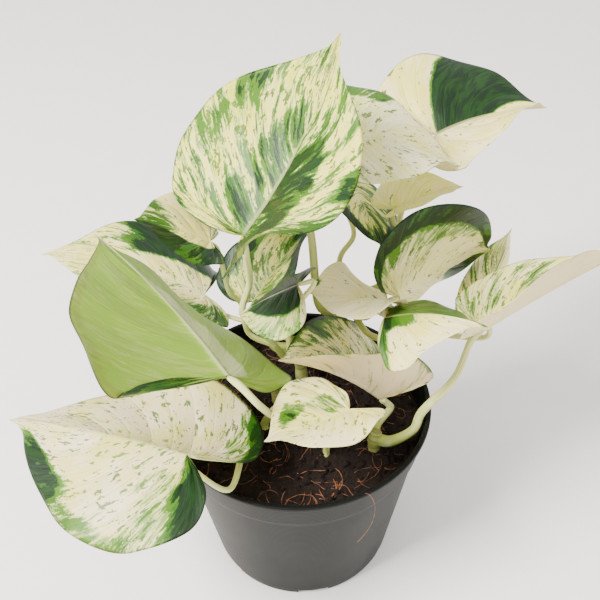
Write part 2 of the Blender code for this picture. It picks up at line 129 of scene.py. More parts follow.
class Leaf:
    """One heart-shaped blade and its stalk.

    base is the notch where the stalk meets the blade, relative to the middle of the soil.  heading,
    pitch and roll turn the blade there; bend, sway and twist are how much pitch, heading and roll
    change by the tip.  fold lifts each half about the midrib, and curl bends it from midrib to
    margin, near the base and near the tip.  Pairs are the (left, right) halves, looking to the tip.
    """

    def __init__(self, name, base, length, width, heading, pitch, roll, bend=0, sway=0, twist=0,
                 fold=(0, 0), curl_base=(0, 0), curl_tip=(0, 0), lobe=(0.19, 0.19), half=(1, 1),
                 vine="", node=0.5, foot=0, via=(), girth=(1.6, 1.2), lift=0.6):
        self.name = name
        self.base = np.array(base, float)
        self.length = length
        self.width = width
        self.heading = heading
        self.pitch = pitch
        self.roll = roll
        self.bend = bend
        self.sway = sway
        self.twist = twist
        self.fold = fold
        self.curl_base = curl_base
        self.curl_tip = curl_tip
        self.lobe = lobe
        self.half = half
        self.vine = vine        # the vine that carries the stalk, or "" when it grows from the soil
        self.node = node        # where on the vine, 0 at the soil to 1 at its top
        self.foot = foot        # compass angle in which the stalk leaves the vine, or its place
        self.via = via          # points that the stalk passes
        self.girth = girth      # stalk radius at the foot and at the leaf
        self.lift = lift        # how far the stalk comes from under the blade, 0 is in its plane


LEAVES = [
    Leaf("leaf_low_left", (-44, -57, 42), 87, 97, 159, 0, -3, bend=17, sway=-2, twist=-30,
         fold=(0, -57), curl_base=(-20, 76), curl_tip=(-5, 28), lobe=(0.18, 0.22), half=(0.90, 1.21),
         foot=(-25, -20), via=[(-24.9, -26, 11.7), (-29.3, -55.4, 16.9)], girth=(1.9, 0.8), lift=1.0),
    Leaf("leaf_turned_left", (-28, -32, 59), 91, 100, 125, 15, 206, bend=-2, sway=15, twist=6,
         fold=(17, 1), curl_base=(-5, -10), curl_tip=(18, -13), lobe=(0.07, -0.04), half=(0.99, 1.24),
         foot=(-16, -8), via=[(-10.6, -15.7, 21.3), (-9.9, -29.1, 31.3), (-15.1, -41.9, 52.2)],
         girth=(1.9, 1.4), lift=0.35),
    Leaf("leaf_far_left", (-45, 45, 39), 84, 77, 168, 27, 17, bend=35, sway=-2, twist=-18,
         fold=(-10, 16), curl_base=(-4, -35), curl_tip=(-1, 2), lobe=(0.19, 0.03), half=(0.60, 1.04),
         vine="vine_crown", node=0.96, foot=138, via=[(-14.9, 30.4, 30.3), (-30.5, 37.3, 29.7)],
         girth=(1.6, 0.9), lift=0.7),
    Leaf("leaf_small_left", (-36, 20, 89), 34, 50, 195, 38, 3, bend=12, sway=6, twist=-9,
         fold=(-10, 13), curl_base=(-10, -19), curl_tip=(-10, -3), lobe=(0.19, 0.19), half=(0.65, 1.08),
         vine="vine_crown", node=0.87, foot=178,
         via=[(-22.5, 22.7, 32.4), (-25.2, 24.8, 49.1), (-30, 22.1, 59.4)],
         girth=(1.5, 1), lift=0.43),
    Leaf("leaf_crown", (-20, 5, 102), 85, 98, 35, 39, -9, bend=-33, sway=-1, twist=19,
         fold=(19, 23), curl_base=(1, 22), curl_tip=(-7, -59), lobe=(0.08, 0.19), half=(1.11, 1.15),
         vine="vine_crown", node=0.75, foot=239,
         via=[(-14.3, 3.9, 49.8), (-23.1, 4.7, 60.8), (-19.2, 6.3, 76.9)],
         girth=(1.7, 1.4), lift=0.76),
    Leaf("leaf_under_crown", (-20, 29, 47), 46, 56, 41, 42, -8, bend=11, sway=-2, twist=-4,
         fold=(20, 24), curl_base=(-1, 2), curl_tip=(-10, -7), lobe=(0.12, 0.19), half=(0.95, 0.99),
         vine="vine_crown", node=0.56, foot=150, via=[(-12.9, 26.9, 21.3)], girth=(1.6, 1.1), lift=0.65),
    Leaf("leaf_small_centre", (1, -4, 83), 31, 46, 175, -28, 3, bend=15, sway=-6, twist=6,
         fold=(-7, -8), curl_base=(-24, -18), curl_tip=(-11, -17), lobe=(0.11, 0.19), half=(1.09, 1.00),
         vine="vine_crown", node=0.94, foot=262,
         via=[(-3.6, 5.9, 37), (-2.8, 8.7, 57.1), (-0.5, -7.4, 73.3)],
         girth=(1.4, 1), lift=0.26),
    Leaf("leaf_back_right", (68, 75, 107), 52, 78, 13, 22, 8, bend=25, sway=-10, twist=-27,
         fold=(24, 20), curl_base=(-1, -19), curl_tip=(-6, 15), lobe=(0.36, 0.20), half=(1.16, 1.00),
         vine="vine_back", node=0.88, foot=25,
         via=[(49.3, 50.3, 44.2), (50.3, 63.8, 58.9), (59.5, 76.8, 87.2)],
         girth=(1.9, 1.3), lift=0.89),
    Leaf("leaf_back_white", (23, 37, 128), 51, 59, 9, -7, 12, bend=26, sway=-5, twist=-13,
         fold=(15, 10), curl_base=(-9, -24), curl_tip=(-32, 8), lobe=(0.19, 0.19), half=(1.07, 1.00),
         vine="vine_back", node=0.85, foot=215,
         via=[(10.1, 25.4, 49.9), (8.2, 33.1, 77.1), (5, 48.7, 103.4)],
         girth=(2.2, 1.4), lift=0.84),
    Leaf("leaf_small_back", (46, 45, 86), 35, 31, 22, 19, -3, bend=28, sway=-2, twist=11,
         fold=(26, 27), curl_base=(-16, 3), curl_tip=(-6, -4), lobe=(0.19, 0.19), half=(1.02, 1.00),
         vine="vine_back", node=0.78, foot=-11, via=[(48.5, 29, 41.7), (56.2, 42.8, 68.1)],
         girth=(1.4, 1), lift=0.95),
    Leaf("leaf_mottled_back", (29, 68, 85), 40, 41, 289, -13, -24, bend=5, sway=-5, twist=9,
         fold=(-1, 10), curl_base=(-25, -5), curl_tip=(-4, -8), lobe=(0.18, 0.19), half=(1.06, 0.99),
         vine="vine_back", node=0.6, foot=88,
         via=[(22.3, 59.7, 46.6), (29.9, 68.9, 56.2), (23.2, 77.3, 73.1)],
         girth=(1.6, 1.1), lift=0.65),
    Leaf("leaf_right", (46, 12, 62), 61, 71, 35, 20, 64, bend=46, sway=5, twist=10,
         fold=(31, -36), curl_base=(-15, -32), curl_tip=(6, -10), lobe=(0.14, 0.05), half=(1.10, 1.00),
         vine="vine_back", node=0.87, foot=301, via=[(32.2, 24.2, 39.5), (34.4, 15.7, 49.2)],
         girth=(1.9, 1.1), lift=0.56),
    Leaf("leaf_lower_right", (37, -12, 71), 43, 47, -23, 32, -18, bend=32, sway=-12, twist=-25,
         fold=(3, -44), curl_base=(-6, -31), curl_tip=(-14, 5), lobe=(0.19, 0.06), half=(1.01, 1.03),
         vine="vine_right", node=0.95, foot=254,
         via=[(38.9, 0.1, 28.5), (37.7, -5.8, 44.8), (35.2, -14.5, 58.7)],
         girth=(1.7, 1.1), lift=0.8),
    Leaf("leaf_folded_centre", (38, -4, 14), 70, 60, 196, 52, -10, bend=16, sway=22, twist=-9,
         fold=(70, 14), curl_base=(21, -2), curl_tip=(3, -19), lobe=(-0.00, 0.11), half=(1.05, 1.15),
         vine="vine_front", node=0.66, foot=75, via=[(43, -3.6, 5.9)], girth=(2, 1.5), lift=0.01),
    Leaf("leaf_small_front", (21, -37, 43), 39, 49, 210, 5, 13, bend=-5, twist=-13,
         fold=(17, 11), curl_base=(-2, -6), curl_tip=(-19, -9), lobe=(0.20, 0.12), half=(0.98, 1.07),
         foot=(12, -25), via=[(12.7, -27.4, 14.8), (23.1, -32.7, 25.8)], girth=(1.6, 1.2), lift=0.91),
    Leaf("leaf_upright_right", (85, 17, 49), 51, 28, 67, 21, -31, bend=15, sway=-5, twist=-4,
         fold=(18, 32), curl_base=(-8, -2), curl_tip=(-7, -2), lobe=(0.19, 0.19), half=(1.02, 0.97),
         vine="vine_right", node=0.68, foot=378, via=[(65.3, 30.9, 21.1), (88.6, 18.8, 29.3)],
         girth=(1.8, 1.2), lift=0.94),
    Leaf("leaf_far_right", (80, -7, 58), 77, 48, 29, 12, 4, bend=1, sway=-7, twist=-18,
         fold=(20, 72), curl_base=(5, -7), curl_tip=(-18, 4), lobe=(0.05, 0.19), half=(0.85, 0.98),
         vine="vine_front", node=0.48, foot=-9,
         via=[(51.8, -19.2, 8.8), (56, -15.1, 16.6), (67.4, -18.1, 40.1)],
         girth=(2.4, 1.3), lift=0.33),
    Leaf("leaf_cupped_centre", (40, 7, 64), 36, 54, 183, 14, 27, bend=4, twist=-32,
         fold=(6, 14), curl_base=(16, -42), curl_tip=(-15, 3), lobe=(0.08, 0.05), half=(1.02, 1.11),
         vine="vine_back", node=0.94, foot=290, via=[(32.9, 14.5, 38.1), (42.2, 4.4, 44)],
         girth=(1.7, 1.2), lift=0.84),
]


def curve_through(points, samples):
    """Points on a smooth curve through the given ones, spaced evenly along it."""
    given = np.array(points, float)
    padded = np.vstack([2 * given[0] - given[1], given, 2 * given[-1] - given[-2]])
    dense = []
    for index in range(len(given) - 1):
        before, start, end, after = padded[index:index + 4]
        for share in np.linspace(0.0, 1.0, 24, endpoint=False):
            dense.append(0.5 * (2 * start + (end - before) * share
                                + (2 * before - 5 * start + 4 * end - after) * share ** 2
                                + (3 * start - before - 3 * end + after) * share ** 3))
    dense.append(given[-1])
    dense = np.array(dense)
    run = np.concatenate([[0.0], np.cumsum(np.linalg.norm(np.diff(dense, axis=0), axis=1))])
    even = np.linspace(0.0, run[-1], samples)
    return np.stack([np.interp(even, run, dense[:, axis]) for axis in range(3)], axis=1)


def axes_at(leaf, shares):
    """Midrib points and the blade's forward, left and up directions at shares of its length."""
    fine = np.linspace(0.0, 1.0, 65)
    heading = np.radians(leaf.heading + leaf.sway * fine)
    pitch = np.radians(leaf.pitch - leaf.bend * fine)
    roll = np.radians(leaf.roll + leaf.twist * fine)[:, None]
    ahead = np.stack([np.cos(pitch) * np.cos(heading), np.cos(pitch) * np.sin(heading), np.sin(pitch)], 1)
    level = np.stack([-np.sin(heading), np.cos(heading), 0 * heading], 1)
    upright = np.cross(ahead, level)
    left = np.cos(roll) * level + np.sin(roll) * upright
    up = np.cos(roll) * upright - np.sin(roll) * level
    steps = 0.5 * (ahead[1:] + ahead[:-1]) / (len(fine) - 1)
    midrib = np.vstack([[0, 0, 0], np.cumsum(steps, axis=0)]) * leaf.length
    inside = np.clip(shares, 0.0, 1.0)
    read = [np.stack([np.interp(inside, fine, values[:, axis]) for axis in range(3)], 1)
            for values in (midrib, ahead, left, up)]
    read[0] = read[0] + read[1] * ((shares - inside) * leaf.length)[:, None]
    return read


def outline_at(share, lobe):
    """The half blade's outline at a share of the way from the notch to the tip."""
    shape = OUTLINE.copy()
    behind = shape[:, 0] < 0
    shape[behind, 0] *= lobe / OUTLINE_LOBE
    spans = len(shape) - 1
    padded = np.vstack([2 * shape[0] - shape[1], shape, 2 * shape[-1] - shape[-2]])
    place = share * spans
    first = np.minimum(place.astype(int), spans - 1)
    rest = (place - first)[:, None]
    before, start, end, after = (padded[first + step] for step in range(4))
    return 0.5 * (2 * start + (end - before) * rest + (2 * before - 5 * start + 4 * end - after) * rest ** 2
                  + (3 * start - before - 3 * end + after) * rest ** 3)


def blade_points(leaf, along, across, side):
    """Points of a half blade; along runs round the margin, across from the midrib to it."""
    pick = 0 if side > 0 else 1
    margin = outline_at(along, leaf.lobe[pick])
    root = OUTLINE[-1, 0] * np.clip((along - LOBE_SHARE) / (1 - LOBE_SHARE), 0, 1) ** 1.15
    forward = root + (margin[:, 0] - root) * across ** 1.2
    outward = margin[:, 1] * across
    centre, ahead, left, up = axes_at(leaf, forward)
    inside = np.clip(forward, 0, 1)
    curl = np.radians(leaf.curl_base[pick] * (1 - inside) + leaf.curl_tip[pick] * inside)
    reach = outward * leaf.width / 2 * leaf.half[pick]
    steps = 14
    aside = np.zeros_like(reach)
    rise = np.zeros_like(reach)
    for step in range(steps):
        slope = np.radians(leaf.fold[pick]) + curl * outward * (step + 0.5) / steps
        aside += np.cos(slope) * reach / steps
        rise += np.sin(slope) * reach / steps
    return centre + left * (side * aside)[:, None] + up * rise[:, None]


# ---- shader maths -----------------------------------------------------------------------------
class Value:
    """A shader socket that takes + - * /; each operation adds a Math node."""

    def __init__(self, paint, socket):
        self.paint = paint
        self.socket = socket

    def maths(self, operation, first, second=0.0):
        return self.paint.node("ShaderNodeMath", {0: first, 1: second}, operation=operation)

    def __add__(self, other):
        return self.maths("ADD", self, other)

    def __sub__(self, other):
        return self.maths("SUBTRACT", self, other)

    def __mul__(self, other):
        return self.maths("MULTIPLY", self, other)

    def __truediv__(self, other):
        return self.maths("DIVIDE", self, other)

    def __rsub__(self, other):
        return self.maths("SUBTRACT", other, self)

    def __pow__(self, other):
        return self.maths("POWER", self, other)

    __radd__ = __add__
    __rmul__ = __mul__

    def __rtruediv__(self, other):
        return self.maths("DIVIDE", other, self)

    def size(self):
        return self.maths("ABSOLUTE", self)

    def sine(self):
        return self.maths("SINE", self)


class Paint:
    """A Principled material and the nodes that feed it."""

    def __init__(self, name):
        self.material = bpy.data.materials.new(name)
        self.material.use_nodes = True
        self.tree = self.material.node_tree
        self.shader = self.tree.nodes["Principled BSDF"]

    def node(self, kind, inputs=None, output=0, **settings):
        made = self.tree.nodes.new(kind)
        for name, value in settings.items():
            setattr(made, name, value)
        for key, value in (inputs or {}).items():
            self.feed(made.inputs[key], value)
        return Value(self, made.outputs[output])

    def feed(self, socket, value):
        if isinstance(value, Value):
            self.tree.links.new(value.socket, socket)
        else:
            socket.default_value = value

    def finish(self, **values):
        """Feeds the shader's sockets; roughness=0.4 goes to Roughness, base_color to Base Color."""
        for name, value in values.items():
            self.feed(self.shader.inputs[name.replace("_", " ").title().replace("Ior", "IOR")], value)
        return self.material

    def mix(self, share, first, second):
        return self.node("ShaderNodeMix", {0: share, 6: first, 7: second}, 2, data_type="RGBA")

    def step(self, value, low, high):
        """0 below low, 1 above high and a smooth change between."""
        return self.node("ShaderNodeMapRange", {0: value, 1: low, 2: high}, interpolation_type="SMOOTHSTEP")

    def noise(self, place, scale, detail=2.0, rough=0.5, shift=0.0):
        return self.node("ShaderNodeTexNoise", {"Vector": place, "Scale": scale, "Detail": detail,
                                                "Roughness": rough, "W": shift}, noise_dimensions="4D")

    def place(self):
        return self.node("ShaderNodeTexCoord", output=3)

    def parts(self, vector):
        split = self.tree.nodes.new("ShaderNodeSeparateXYZ")
        self.feed(split.inputs[0], vector)
        return [Value(self, socket) for socket in split.outputs]

    def joined(self, x, y, z):
        return self.node("ShaderNodeCombineXYZ", {0: x, 1: y, 2: z})

    def field(self, name):
        return self.node("ShaderNodeAttribute", output=2, attribute_name=name)

    def bump(self, height, distance, strength=1.0):
        return self.node("ShaderNodeBump", {"Height": height, "Distance": distance, "Strength": strength})


def tone(red, green, blue):
    """A linear colour from everyday 0 to 255 values."""
    share = np.array([red, green, blue]) / 255.0
    linear = np.where(share <= 0.04045, share / 12.92, ((share + 0.055) / 1.055) ** 2.4)
    return (*linear.tolist(), 1.0)


# ---- meshes -----------------------------------------------------------------------------------
def weave(rows, columns):
    """Corner numbers of a grid's triangles, two to a cell, turning from the columns to the rows."""
    first = np.arange((rows - 1) * columns).reshape(rows - 1, columns)[:, :-1].ravel()
    quads = np.stack([first, first + 1, first + columns + 1, first + columns], 1)
    return np.concatenate([quads[:, [0, 1, 2]], quads[:, [0, 2, 3]]])


def merged(places):
    """The distinct points of an array, in mm, and the number of each given point among them."""
    _, kept, number = np.unique(np.round(places / 0.002).astype(np.int64), axis=0,
                                return_index=True, return_inverse=True)
    return places[kept], number.reshape(-1), kept


def solid_triangles(corners, number):
    """Which triangles are left once points are merged: those with three different corners."""
    first, second, third = number[corners].T
    return (first != second) & (second != third) & (third != first)


def closed(places, corners, flat=None):
    """A grid with its coincident points merged: points, triangles and a UV pair for each corner."""
    distinct, number, _ = merged(places)
    kept = corners[solid_triangles(corners, number)]
    return distinct, number[kept], None if flat is None else flat[kept]


def point_normals(places, corners):
    """Unit normals at points: the sum of the cross products of the triangles round each."""
    one, two, three = (places[corners[:, side]] for side in range(3))
    faces = np.cross(two - one, three - one)
    total = np.zeros_like(places)
    for side in range(3):
        np.add.at(total, corners[:, side], faces)
    return total / np.maximum(np.linalg.norm(total, axis=1, keepdims=True), 1e-12)


def add_piece(name, places, corners, material, replaced, flat=None, fields=None):
    """A mesh object from points in mm, triangles, a UV pair for each corner and values for each point."""
    mesh = bpy.data.meshes.new(name)
    mesh.vertices.add(len(places))
    mesh.vertices.foreach_set("co", (places * MM).astype(np.float32).ravel())
    mesh.loops.add(corners.size)
    mesh.loops.foreach_set("vertex_index", corners.astype(np.int32).ravel())
    mesh.polygons.add(len(corners))
    mesh.polygons.foreach_set("loop_start", np.arange(0, corners.size, 3, dtype=np.int32))
    mesh.polygons.foreach_set("loop_total", np.full(len(corners), 3, dtype=np.int32))
    if flat is not None:
        layer = mesh.uv_layers.new(name="surface")
        layer.uv.foreach_set("vector", flat.astype(np.float32).ravel())
    for field, values in (fields or {}).items():
        mesh.attributes.new(field, "FLOAT", "POINT").data.foreach_set("value", values.astype(np.float32))
    mesh.update(calc_edges=True)
    mesh.validate()
    mesh.shade_smooth()
    mesh.materials.append(material)
    piece = bpy.data.objects.new(name, mesh)
    bpy.context.scene.collection.objects.link(piece)
    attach(piece, "root")
    if replaced:
        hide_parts(*replaced)
    return piece


def sweep(path, radii, around=14):
    """A round closed rod: rings of points about a path, carried along without turning.

    At each path point the ring is radius * (cos, sin) in the plane across the path; both ends close
    on a pole.  Returns points, triangles and a UV pair (turn, share of length) for each corner.
    """
    path = np.asarray(path, float)
    ahead = np.gradient(path, axis=0)
    ahead /= np.linalg.norm(ahead, axis=1, keepdims=True)
    across = np.zeros_like(path)
    start = np.cross(ahead[0], (0.0, 0.0, 1.0) if abs(ahead[0][2]) < 0.9 else (1.0, 0.0, 0.0))
    across[0] = start / np.linalg.norm(start)
    for index in range(1, len(path)):
        carried = across[index - 1] - ahead[index] * (across[index - 1] @ ahead[index])
        across[index] = carried / np.linalg.norm(carried)
    beside = np.cross(ahead, across)
    turn = np.linspace(0.0, math.tau, around + 1)
    ring = (across[:, None] * np.cos(turn)[None, :, None]
            + beside[:, None] * np.sin(turn)[None, :, None])
    rows = path[:, None] + ring * np.asarray(radii, float)[:, None, None]
    rows = np.concatenate([np.repeat(path[:1, None], around + 1, 1), rows,
                           np.repeat(path[-1:, None], around + 1, 1)])
    length = np.concatenate([[0.0], np.linspace(0.0, 1.0, len(path)), [1.0]])
    flat = np.stack(np.broadcast_arrays(turn[None, :] / math.tau, length[:, None]), 2).reshape(-1, 2)
    return closed(rows.reshape(-1, 3), weave(len(rows), around + 1), flat)


def gathered(shapes):
    """Several (points, triangles, flat) shapes as one."""
    starts = np.cumsum([0] + [len(places) for places, _, _ in shapes[:-1]])
    return (np.concatenate([places for places, _, _ in shapes]),
            np.concatenate([corners + start for (_, corners, _), start in zip(shapes, starts)]),
            np.concatenate([flat for _, _, flat in shapes]))


# ---- leaves -----------------------------------------------------------------------------------
class Patch:
    """Where a leaf is greener or paler: a soft-edged range of the margin's and the half's shares.

    side is 1 for the left half, -1 for the right and 0 for both; along and across are (low, high).
    sweep slants the ends of the range forward towards the margin, as the side veins are.
    """

    def __init__(self, side, along, across, amount, soft=0.05, sweep=0.0):
        self.side = side
        self.along = along
        self.across = across
        self.amount = amount
        self.soft = soft
        self.sweep = sweep

    def at(self, along, across):
        def inside(values, span):
            return 1 / ((1 + np.exp((span[0] - values) * 3 / self.soft))
                        * (1 + np.exp((values - span[1]) * 3 / self.soft)))
        half = 1.0 if self.side == 0 else (across * self.side > -1e-6)
        outward = np.abs(across)
        return (self.amount * half * inside(along - self.sweep * outward, self.along)
                * inside(outward, self.across))


class Look:
    """A leaf's colouring: base greenness from 0 cream to 1 dark green, its patches and its grain."""

    def __init__(self, seed, base, patches=(), blotch=1.0, streak=1.3, speck=0.5, cream=(232, 218, 158),
                 under=((214, 206, 150), (128, 156, 66))):
        self.seed = seed
        self.base = base
        self.patches = patches
        self.blotch = blotch        # strength of the broad sectors
        self.streak = streak        # strength of the streaks along the side veins
        self.speck = speck          # how many small marks lie on the cream
        self.cream = cream
        self.under = under          # colours of the lower side where the leaf is cream and green


def leaf_finish(leaf, look):
    """Marbled waxy leaf: cream, grey-green, mid and dark green where a greenness value passes steps.

    Greenness is the piece's own value plus sectors, streaks and hairs: noise in millimetres on the
    blade, drawn out from the midrib to the margin and swept forward like the side veins.
    """
    paint = Paint(leaf.name.replace("leaf", "marbled"))
    across, along, _ = paint.parts(paint.node("ShaderNodeUVMap", uv_map="surface"))
    here = paint.place()
    half = paint.step(across, -0.001, 0.001) * 37.0 + look.seed * 11.0
    outward = across.size()
    vein = along - outward * VEIN_SWEEP
    wander = (paint.noise(here, 45.0, 2.0, 0.5) - 0.5) * 7.0
    reach = across * (leaf.width / 2.0)
    run = vein * (leaf.length * 1.6) + wander

    def grain(reach_rate, run_rate, detail, shift):
        place = paint.joined(reach * reach_rate, run * run_rate, half)
        return paint.noise(place, 1.0, detail, 0.6, look.seed + shift) - 0.5

    sector = grain(0.030, 0.075, 3.0, 0.0)
    streak = grain(0.055, 0.26, 5.0, 3.1)
    hair = grain(0.13, 1.1, 2.0, 5.7)
    marks = grain(0.24, 0.50, 2.0, 8.3)
    ragged = paint.noise(here, 900.0, 3.0, 0.6) - 0.5
    cloud = paint.noise(here, 60.0, 2.0, 0.5)
    green = (paint.field("greenness") + sector * look.blotch + streak * look.streak
             + hair * (0.28 * look.streak) + ragged * 0.20)
    specks = paint.step(marks + ragged * 0.30 + green * 0.14 + look.speck * 0.05, 0.165, 0.20)

    yellow = (0.93 * np.array(look.cream) + (4, 8, -42)).clip(0, 255)
    colour = paint.mix(paint.step(cloud + hair, 0.35, 0.70), tone(*look.cream), tone(*yellow))
    colour = paint.mix(paint.step(green, 0.30, 0.42) * 0.62, colour, tone(170, 184, 104))
    colour = paint.mix(paint.step(green + hair * 0.5, 0.42, 0.47) * 0.85, colour, tone(112, 142, 72))
    fresh = paint.mix(paint.step(cloud + streak, 0.35, 0.65), tone(38, 84, 12), tone(72, 114, 20))
    colour = paint.mix(specks * 0.85, colour, fresh)
    colour = paint.mix(paint.step(green, 0.50, 0.54), colour, fresh)
    deep = paint.mix(paint.step(streak + hair, -0.12, 0.16), tone(8, 30, 8), tone(18, 50, 10))
    colour = paint.mix(paint.step(green, 0.66, 0.74), colour, deep)
    rib = paint.step(outward, 0.030, 0.010) * paint.step(along, 0.36, 0.44)
    colour = paint.mix(rib * 0.40, colour, tone(214, 216, 150))

    below = paint.field("below")
    pale, leafy = (tone(*shade) for shade in look.under)
    lower = paint.mix(paint.step(green, 0.34, 0.60), pale, leafy)
    lower = paint.mix(paint.step(green, 0.74, 0.92) * 0.6, lower, tone(112, 124, 44))
    lower = paint.mix(paint.step(sector + hair, -0.05, 0.25) * 0.25, lower, tone(206, 208, 140))
    lower = paint.mix(paint.step(outward, 0.030, 0.008) * 0.6, lower, tone(224, 222, 178))
    colour = paint.mix(below, colour, lower)

    wave = (vein * (math.tau * SIDE_VEINS / 1.2)).sine()
    furrow = ((1.0 - wave.size()) ** 6.0) * paint.step(outward, 0.02, 0.15) * paint.step(outward, 1.0, 0.7)
    skin = paint.noise(here, 1400.0, 2.0, 0.5)
    height = furrow * -0.30 + skin * 0.12 + hair * 0.25
    return paint.finish(base_color=colour, roughness=cloud * 0.12 + 0.34 + below * 0.14,
                        normal=paint.bump(height, 0.0009, 0.7), specular_ior_level=0.26,
                        subsurface_weight=0.04, subsurface_scale=0.002)


def add_blade(leaf, look):
    """A closed leaf blade: the midrib-to-margin sheet, with a top and a lower skin off its normals.

    The half-thickness falls to nothing at the margin as sqrt(1 - share ** 6), where the skins meet.
    The midrib is a groove above and a ridge below.  Each half swells between its side veins as
    |sin|, most at mid-width, and its margin waves up and down by two sines of different length.
    """
    along = np.concatenate([np.linspace(0, LOBE_SHARE, round(ROWS * LOBE_SHARE) + 1),
                            np.linspace(LOBE_SHARE, 1, ROWS - round(ROWS * LOBE_SHARE) + 1)[1:]])
    across = np.linspace(-1, 1, 2 * COLUMNS + 1)
    across = -np.sign(across) * np.abs(across) ** 1.1
    grid_along, grid_across = (values.ravel() for values in np.meshgrid(along, across, indexing="ij"))
    left = grid_across >= 0
    places = np.empty((len(grid_along), 3))
    for side, chosen in ((1, left), (-1, ~left)):
        places[chosen] = blade_points(leaf, grid_along[chosen], np.abs(grid_across[chosen]), side)
    places += in_pot(leaf.base)
    corners = weave(len(along), len(across))
    distinct, number, kept = merged(places)
    solid = solid_triangles(corners, number)
    corners = corners[solid]
    sheet = number[corners]
    normals = point_normals(distinct, sheet)
    signed = grid_across[kept]
    share = np.abs(signed)
    run = grid_along[kept]
    edge = (share > 0.9999) | (run < 1e-6) | (run > 1 - 1e-6)
    inside = np.sqrt(np.clip(1 - share ** 6, 0, 1)) * np.sqrt(np.clip((1 - run) / 0.03, 0, 1))
    inside[edge] = 0.0
    beside = share * leaf.width / 2
    forward = np.clip((run - LOBE_SHARE) / (1 - LOBE_SHARE), 0, 1)
    size = leaf.width / RUFFLE_LEAF
    vein = run - VEIN_SWEEP * share
    between = np.abs(np.sin(math.pi * SIDE_VEINS / 1.2 * vein)) - 0.64
    swell = PUCKER * size * between * np.sin(math.pi * share ** 0.8) * (1 - forward ** 3)
    phase = look.seed * 1.7 + 2.1 * (signed > 0)
    wave = np.sin(math.tau * 2.3 * run + phase) + 0.6 * np.sin(math.tau * 4.9 * run + 2.3 * phase)
    swell += RUFFLE * size * wave * share ** 3 * np.sin(math.pi * np.clip(run, 0, 1)) ** 0.7
    groove = 0.30 * np.exp(-(beside / 0.9) ** 2)
    ridge = MIDRIB * (1 - 0.7 * forward) * np.exp(-(beside / 1.1) ** 2)
    upper = distinct + normals * (inside * (THICKNESS / 2 - groove) + swell)[:, None]
    lower = distinct - normals * (inside * (THICKNESS / 2 + ridge) - swell)[:, None]
    under = np.where(edge, np.arange(len(distinct)), np.arange(len(distinct)) + len(distinct))
    all_corners = np.concatenate([sheet, under[sheet][:, ::-1]])
    used, packed = np.unique(all_corners, return_inverse=True)
    flat = np.stack([grid_across, grid_along], 1)[corners]
    flat = np.concatenate([flat, flat[:, ::-1]])
    greenness = look.base + sum(patch.at(run, signed) for patch in look.patches)
    fields = {"greenness": np.tile(greenness, 2)[used],
              "below": np.repeat([0.0, 1.0], len(distinct))[used]}
    places = np.concatenate([upper, lower])[used]
    return add_piece(leaf.name.replace("leaf", "blade"), places, packed.reshape(-1, 3),
                     leaf_finish(leaf, look), [leaf.name], flat, fields)


# ---- stalks and stems -------------------------------------------------------------------------
def stalk_finish():
    """Smooth pale green stalk with long faint stripes and a greener, browner foot."""
    paint = Paint("pale_stalk")
    turn, run, _ = paint.parts(paint.node("ShaderNodeUVMap", uv_map="surface"))
    here = paint.place()
    stripe = paint.noise(paint.joined(turn * 9.0, run * 2.0, 0.0), 1.0, 3.0, 0.6)
    cloud = paint.noise(here, 90.0, 3.0, 0.55)
    colour = paint.mix(paint.step(run, 0.0, 0.7), tone(158, 168, 82), tone(206, 206, 136))
    colour = paint.mix(paint.step(stripe, 0.50, 0.62) * 0.55, colour, tone(116, 140, 52))
    colour = paint.mix(paint.step(cloud, 0.58, 0.70) * 0.35, colour, tone(232, 228, 190))
    spots = paint.noise(here, 420.0, 2.0, 0.6)
    colour = paint.mix(paint.step(spots, 0.70, 0.74) * 0.5, colour, tone(120, 104, 58))
    return paint.finish(base_color=colour, roughness=cloud * 0.12 + 0.38, specular_ior_level=0.30,
                        normal=paint.bump(stripe, 0.0004, 0.5), subsurface_weight=0.05,
                        subsurface_scale=0.002)


def bark_finish():
    """Green-brown stem, paler where it is young, with cross scars and a corky grain."""
    paint = Paint("stem_bark")
    turn, run, _ = paint.parts(paint.node("ShaderNodeUVMap", uv_map="surface"))
    here = paint.place()
    cork = paint.noise(here, 700.0, 4.0, 0.65)
    cloud = paint.noise(here, 130.0, 3.0, 0.5)
    rings = (run * 26.0 + cork * 2.0).sine()
    colour = paint.mix(paint.step(cloud + run * 0.4, 0.45, 0.85), tone(112, 100, 52), tone(150, 160, 82))
    colour = paint.mix(paint.step(rings, 0.80, 0.95) * 0.6, colour, tone(96, 76, 44))
    return paint.finish(base_color=colour, roughness=cork * 0.15 + 0.62,
                        normal=paint.bump(cork + rings * 0.3, 0.0008, 0.6))


def stalk_points(leaf):
    """Control points of a leaf's stalk, from its stem or the soil to the notch of the blade."""
    if leaf.vine:
        vine = next(vine for vine in VINES if vine.name == leaf.vine)
        above = curve_through([in_pot(point) for point in vine.points], 21)
        node = above[round(20 * leaf.node)]
        out = np.array([math.cos(math.radians(leaf.foot)), math.sin(math.radians(leaf.foot)), 0.0])
        first = [node + out * (0.4 * vine.radius), node + out * (vine.radius + FOOT_RUN)]
    else:
        x, y = leaf.foot
        first = [in_pot((x, y, -0.5 * SOCKET_DEPTH)), in_pot((x, y, 0)), in_pot((x, y, 4))]
    _, ahead, _, up = (values[0] for values in axes_at(leaf, np.zeros(1)))
    enter = ahead * math.sqrt(max(0.0, 1 - leaf.lift ** 2)) + up * leaf.lift
    end = in_pot(leaf.base) - enter * 0.5
    return first + [in_pot(point) for point in leaf.via] + [end - enter * SEAT_RUN, end]


